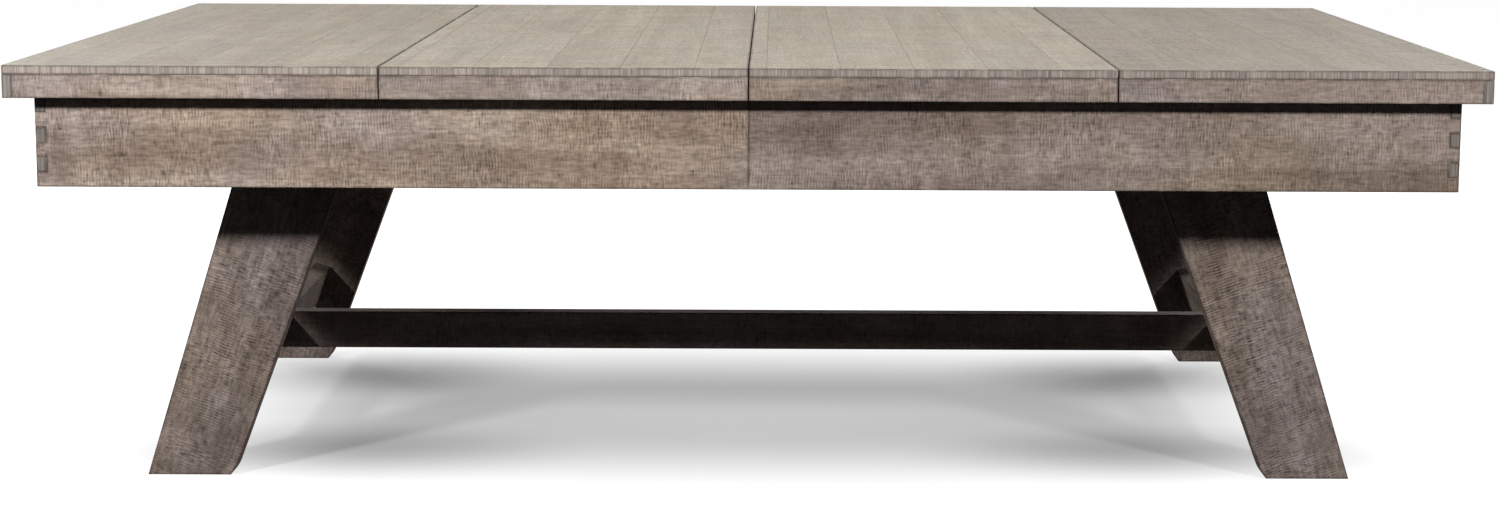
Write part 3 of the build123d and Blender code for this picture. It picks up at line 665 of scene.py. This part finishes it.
def cut_pockets(sheet):
    """Cuts the pocket rounds out of the sheet."""
    shape = bmesh.new()
    for x, y in pockets:
        bmesh.ops.create_cone(
            shape,
            cap_ends=True,
            segments=56,
            radius1=pocket_cut,
            radius2=pocket_cut,
            depth=0.06,
            matrix=Matrix.Translation((x, y, bed_high.z)),
        )
    mesh = bpy.data.meshes.new("pocket_cutters")
    shape.to_mesh(mesh)
    shape.free()
    cutter = bpy.data.objects.new("pocket_cutters", mesh)
    bpy.context.scene.collection.objects.link(cutter)
    thick = sheet.modifiers.new("thick", "SOLIDIFY")
    thick.thickness = bed_high.z - bed_low.z
    thick.offset = -1.0
    cut = sheet.modifiers.new("cut", "BOOLEAN")
    cut.operation = "DIFFERENCE"
    cut.solver = "EXACT"
    cut.object = cutter
    result = bpy.data.meshes.new_from_object(
        sheet.evaluated_get(bpy.context.evaluated_depsgraph_get())
    )
    sheet.modifiers.clear()
    sheet.data = result
    bpy.data.objects.remove(cutter)


bed = bpy.data.objects.new("bed_sheet_plan", mesh_from("bed_sheet_plan", cloth_shape))
bpy.context.scene.collection.objects.link(bed)
cut_pockets(bed)
bed_mesh = bed.data
bpy.data.objects.remove(bed)
bed_mesh.materials.clear()
cloth = piece("bed_sheet", bed_mesh, cloth_look, ROOT, "billiard_cloth", "bed_cloth")


# ---------------------------------------------------------------------- cushions
# Cloth-covered noses. The section has a soft nose and a slight crown on top, and
# the cloth is pulled round each end in a small radius.
def cushion_section(shrink):
    """(distance from the nose line, height above the bed) round the section."""
    points = [
        (0.0022, 0.0338),
        (0.0008, 0.0347),
        (0.0002, 0.0360),
        (0.0008, 0.0373),
        (0.0024, 0.0381),
        (0.0100, 0.0389),
        (0.0220, 0.0397),
        (0.0340, 0.0402),
        (0.0455, 0.0403),
        (0.0476, 0.0396),
        (0.0479, 0.0380),
        (0.0479, 0.0170),
        (0.0476, 0.0148),
        (0.0455, 0.0150),
        (0.0300, 0.0217),
        (0.0150, 0.0282),
    ]
    middle = 0.030
    return [tuple(middle + (p - middle) * shrink for p in point) for point in points]


def cushion_rings(low, high, low_slope, high_slope):
    """Rings along a cushion from one angled end to the other, as (along, d, h).

    A slope is how much shorter the cushion is at its nose than at its back, per
    unit of distance from the nose line, at that end.
    """
    rings = []
    eased = ((0.0, 0.90), (0.0006, 0.955), (0.0020, 0.99), (0.0045, 1.0))
    eased_long = eased[-1][0]
    count = 24
    steps = [("low", e, s) for e, s in eased]
    steps += [("mid", k / count, 1.0) for k in range(1, count)]
    steps += [("high", e, s) for e, s in reversed(eased)]
    for kind, value, shrink in steps:
        ring = []
        for d, h in cushion_section(shrink):
            start = low - low_slope * d
            end = high + high_slope * d
            if kind == "low":
                along = start + value
            elif kind == "high":
                along = end - value
            else:
                along = start + eased_long + (end - start - 2 * eased_long) * value
            ring.append((along, d, h))
        rings.append(ring)
    return rings


corner_reach = corner_mouth / math.sqrt(2)
side_reach = side_mouth / 2
corner_slope = 1 / math.tan(corner_angle)
side_slope = 1 / math.tan(side_angle)
bed_top = bed_high.z


def clear_of_pockets(mesh):
    """Draws any point that falls inside a pocket's cut back onto its edge."""
    clear = pocket_cut + 0.0003
    for vertex in mesh.vertices:
        for x, y in pockets:
            away = Vector((vertex.co.x - x, vertex.co.y - y))
            if away.length < clear:
                away = away.normalized() * clear
                vertex.co.x, vertex.co.y = x + away.x, y + away.y


for name, sx in (("left", -1), ("right", 1)):
    end = nose_y - corner_reach

    def end_shape(shape, sx=sx, end=end):
        rings = cushion_rings(-end, end, corner_slope, corner_slope)
        loft(shape, [[(sx * (nose_x + d), a, bed_top + h) for a, d, h in ring] for ring in rings])

    label = f"cushion_end_{name}"
    mesh = mesh_from(label, end_shape)
    clear_of_pockets(mesh)
    pad = piece(label, mesh, cloth_look, ROOT, "billiard_cloth", "end_cushions")

for row, sy in (("front", -1), ("back", 1)):
    for name, sx in (("left", -1), ("right", 1)):
        low, high = side_reach, nose_x - corner_reach

        def side_shape(shape, sx=sx, sy=sy, low=low, high=high):
            rings = cushion_rings(low, high, side_slope, corner_slope)
            loft(
                shape,
                [[(sx * a, sy * (nose_y + d), bed_top + h) for a, d, h in ring] for ring in rings],
            )

        label = f"cushion_{row}_{name}"
        mesh = mesh_from(label, side_shape)
        clear_of_pockets(mesh)
        pad = piece(label, mesh, cloth_look, ROOT, "billiard_cloth", "side_cushions")


# ----------------------------------------------------------------------- pockets
# A leather cup under the slate whose wall rises behind the pocket as a collar,
# with a rolled lip and a row of stitches under it.
pocket_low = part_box("corner_pockets")[0].z
slate_top = bed_low.z
collar_half = math.radians(118)


def pocket_shape(shape, x, y, outward):
    around = 72

    def spot(angle, radius, z):
        turn = outward + angle
        return (x + radius * math.cos(turn), y + radius * math.sin(turn), z)

    def full_ring(radius, z):
        return [spot(2 * math.pi * k / around, radius, z) for k in range(around)]

    r_out, r_in = pocket_outer - 0.0002, pocket_inner
    rim = slate_top - 0.0004
    low = pocket_low
    outside = [(0.012, low), (r_out - 0.020, low + 0.0002), (r_out - 0.010, low + 0.0022)]
    outside += [(r_out - 0.0035, low + 0.0075), (r_out - 0.0006, low + 0.0150)]
    outside += [(r_out - 0.0010, low + 0.045), (r_out - 0.0004, low + 0.080), (r_out, rim - 0.004)]
    outside += [(r_out - 0.0004, rim - 0.0010), (r_out - 0.0015, rim)]
    inside = [(r_in + 0.0010, rim), (r_in + 0.0001, rim - 0.0012), (r_in, rim - 0.006)]
    inside += [(r_in - 0.0006, low + 0.070), (r_in - 0.0004, low + 0.022)]
    inside += [(r_in - 0.004, low + 0.0105), (r_in - 0.013, low + 0.0056), (0.012, low + 0.0050)]
    loft(shape, [full_ring(r, z) for r, z in outside + inside])

    # The collar: an arc of wall with a rounded lip.
    top = rail_top - 0.0006
    low = slate_top - 0.0002
    section = [(r_out, low), (r_out, top - 0.0016)]
    section += [(r_out - 0.0005, top - 0.0006), (r_out - 0.0016, top)]
    section += [(r_in + 0.0016, top), (r_in + 0.0005, top - 0.0006)]
    section += [(r_in, top - 0.0018), (r_in, low)]
    count = 48
    rings = []
    for k in range(count + 1):
        angle = -collar_half + 2 * collar_half * k / count
        ends = min(k, count - k)
        drop = (0.0024, 0.0007, 0.0)[min(ends, 2)]
        rings.append([spot(angle, r, z - drop if z > top - 0.01 else z) for r, z in section])
    loft(shape, rings)

    # Stitches along the collar, just under the lip, on the side that shows.
    stitch_half = 0.0016
    stitch_thick = 0.00042
    stitch_gap = 0.0062
    bare = 0.09  # angle left without stitches at each end
    z = top - 0.0058
    radius = r_in - 0.00015
    total = int(2 * (collar_half - bare) * radius / stitch_gap)
    for k in range(total):
        middle = -collar_half + bare + (k + 0.5) * stitch_gap / radius
        ring_rows = []
        for t, fat in ((-1.0, 0.25), (-0.6, 0.8), (0.0, 1.0), (0.6, 0.8), (1.0, 0.25)):
            angle = middle + t * stitch_half / radius
            thick = stitch_thick * fat
            ring_rows.append(
                [
                    spot(angle, radius - thick * math.cos(q), z + thick * math.sin(q))
                    for q in [math.pi * j / 3 for j in range(6)]
                ]
            )
        loft(shape, ring_rows)


def outward_of(x, y):
    if x == 0.0:
        return math.copysign(math.pi / 2, y)
    return math.atan2(math.copysign(1, y), math.copysign(1, x))


for k, (x, y) in enumerate(pockets):
    kind = "side" if x == 0.0 else "corner"
    label = f"pocket_{kind}_{k + 1}"
    mesh = mesh_from(label, lambda shape, x=x, y=y: pocket_shape(shape, x, y, outward_of(x, y)))
    piece(label, mesh, leather_look, ROOT, "pocket_leather", f"{kind}_pockets")


# --------------------------------------------------------------------- felt pads
def pad_strip(shape, x, y, z):
    """A strip of pressed felt with rounded corners and a soft upper arris."""
    radius = 0.004
    arris = 0.0007
    rings = []
    for height, inset in (
        (z[0], 0.0),
        (z[0] + 0.0004, 0.0),
        (z[1] - arris, 0.0),
        (z[1] - arris * 0.3, arris * 0.5),
        (z[1], arris * 1.4),
    ):
        ring = []
        for cx, cy, start in (
            (x[1] - radius, y[1] - radius, 0),
            (x[0] + radius, y[1] - radius, 1),
            (x[0] + radius, y[0] + radius, 2),
            (x[1] - radius, y[0] + radius, 3),
        ):
            for j in range(5):
                a = math.pi / 2 * (start + j / 4)
                r = radius - inset
                ring.append((cx + r * math.cos(a), cy + r * math.sin(a), height))
        rings.append(ring)
    loft(shape, rings)


pad_wide = 0.040
end_pad_long = 0.8 * 2 * nose_y
end_pad_inset = 0.008  # from the pads' outer end to the end pad's middle line
for n in range(1, 5):
    low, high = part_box(f"top_pads_{n}")

    def pads_shape(shape, low=low, high=high, n=n):
        for sy in (-1, 1):
            edge = high.y
            y = (edge - pad_wide, edge) if sy > 0 else (-edge, -edge + pad_wide)
            pad_strip(shape, (low.x, high.x), y, (low.z, high.z))
        if n in (1, 4):
            outer = high.x if n == 4 else -low.x
            middle = outer - end_pad_inset
            x = (middle - pad_wide / 2, middle + pad_wide / 2)
            x = x if n == 4 else (-x[1], -x[0])
            pad_strip(shape, x, (-end_pad_long / 2, end_pad_long / 2), (low.z, high.z))

    mesh = mesh_from(f"felt_pads_{n}", pads_shape)
    piece(f"felt_pads_{n}", mesh, felt_look, body_of_node(f"top_pads_{n}"), "felt", f"top_pads_{n}")


# --------------------------------------------------------------- stage and light
def stage_floor():
    """A pale floor, big enough to fill every view, with a soft shadow of the table painted into its
    glow.
    """
    shape = bmesh.new()
    bmesh.ops.create_grid(shape, x_segments=1, y_segments=1, size=60.0)
    mesh = bpy.data.meshes.new("studio_floor")
    shape.to_mesh(mesh)
    shape.free()
    floor = bpy.data.objects.new("studio_floor", mesh)
    bpy.context.scene.collection.objects.link(floor)
    floor.location.z = cad_low.z - 0.0005
    g = Graph("studio_floor")
    g.shader.inputs["Base Color"].default_value = (0.22, 0.22, 0.223, 1.0)
    g.shader.inputs["Roughness"].default_value = 1.0
    g.shader.inputs["Specular IOR Level"].default_value = 0.0
    g.shader.inputs["Emission Color"].default_value = (1.0, 1.0, 1.0, 1.0)
    place = g.where.outputs["Object"]
    x = g.math("ABSOLUTE", g.vector("DOT_PRODUCT", place, (1.0, 0.0, 0.0)))
    y = g.vector("DOT_PRODUCT", place, (0.0, 1.0, 0.0))
    shade_long, shade_wide = 1.34, 0.80  # half the length and width of the shade
    along = g.math("POWER", g.math("MULTIPLY", x, 1 / shade_long), 4.0)
    across = g.math("POWER", g.math("ABSOLUTE", g.math("MULTIPLY", y, 1 / shade_wide)), 2.0)
    # The floor's glow is dimmed under the table: a painted shadow.
    glow_with_painted_shadow = g.span(g.math("SQRT", g.math("ADD", along, across)), 0.22, 1.0, 0.35, 0.97)
    # Painted shadow, deeper in patches by the feet: middle, reach and depth.
    front_painted_shadow = ((0.86, -0.36), (0.60, 0.30), 0.38)
    back_painted_shadow = ((0.92, 0.38), (0.55, 0.32), 0.42)
    for middle, reach, depth in (front_painted_shadow, back_painted_shadow):
        dx = g.math("MULTIPLY", g.math("SUBTRACT", x, middle[0]), 1 / reach[0])
        dy = g.math("MULTIPLY", g.math("SUBTRACT", y, middle[1]), 1 / reach[1])
        away = g.math("SQRT", g.math("ADD", g.math("MULTIPLY", dx, dx), g.math("MULTIPLY", dy, dy)))
        glow_with_painted_shadow = g.math("SUBTRACT", glow_with_painted_shadow, g.span(away, 0.0, 1.0, depth, 0.0))
    glow_with_painted_shadow = g.math("MAXIMUM", glow_with_painted_shadow, 0.0)
    g.put(g.shader.inputs["Emission Strength"], glow_with_painted_shadow)
    mesh.materials.append(g.material)
    floor.visible_diffuse = False
    floor.visible_glossy = False


stage_floor()


def softbox(name, place, target, size, power):
    """A white area lamp at a place, aimed at a target."""
    lamp = bpy.data.lights.new(name, "AREA")
    lamp.shape = "RECTANGLE"
    lamp.size, lamp.size_y = size
    lamp.energy = power
    item = bpy.data.objects.new(name, lamp)
    bpy.context.scene.collection.objects.link(item)
    item.location = place
    item.rotation_mode = "QUATERNION"
    aim = Vector(target) - Vector(place)
    item.rotation_quaternion = aim.to_track_quat("-Z", "Y")


softbox("key_left", (-3.3, -4.4, 3.15), (-0.6, -0.3, 0.4), (0.55, 0.55), 315.0)
softbox("key_right", (3.3, -4.4, 3.15), (0.6, -0.3, 0.4), (0.55, 0.55), 225.0)
softbox("overhead", (0.0, 0.2, 4.2), (0.0, 0.0, 0.5), (3.2, 2.0), 128.0)
softbox("back_left", (-4.0, 4.4, 1.95), (-0.4, 0.3, 0.4), (1.8, 1.8), 190.0)
softbox("back_right", (4.0, 4.4, 1.95), (0.4, 0.3, 0.4), (1.8, 1.8), 190.0)

world = bpy.data.worlds.new("studio")
world.use_nodes = True
bpy.context.scene.world = world
tree = world.node_tree
background = tree.nodes["Background"]
background.inputs["Strength"].default_value = 1.0
seen = tree.nodes.new("ShaderNodeLightPath")
blend = tree.nodes.new("ShaderNodeMix")
blend.data_type = "RGBA"
blend.inputs[6].default_value = (0.055, 0.055, 0.057, 1.0)
blend.inputs[7].default_value = (0.97, 0.97, 0.975, 1.0)
tree.links.new(seen.outputs["Is Camera Ray"], blend.inputs[0])
tree.links.new(blend.outputs[2], background.inputs["Color"])

bpy.context.scene.view_settings.view_transform = "Standard"
bpy.context.scene.view_settings.look = "None"
bpy.context.scene.view_settings.exposure = 0.0
bpy.context.scene.view_settings.gamma = 1.0

# ------------------------------------------------------------------------ camera
# Straight on from the front, a little above the top, as in the photograph.
camera_place = (0.0491, -5.1749, 1.2317)
camera_yaw = math.radians(-0.139)
camera_pitch = math.radians(7.619)
camera_roll = math.radians(0.260)
camera_data = bpy.data.cameras.new("camera")
camera_data.sensor_width = 36.0
camera_data.lens = 60.16
camera_data.shift_x = -0.0213
camera_data.shift_y = -0.0641
camera_data.clip_start = 0.1
camera_data.clip_end = 200.0
camera = bpy.data.objects.new("camera", camera_data)
bpy.context.scene.collection.objects.link(camera)
turn = Matrix.Rotation(camera_yaw, 4, "Z")
turn = turn @ Matrix.Rotation(math.pi / 2 - camera_pitch, 4, "X")
turn = turn @ Matrix.Rotation(camera_roll, 4, "Z")
camera.matrix_world = Matrix.Translation(camera_place) @ turn
bpy.context.scene.camera = camera
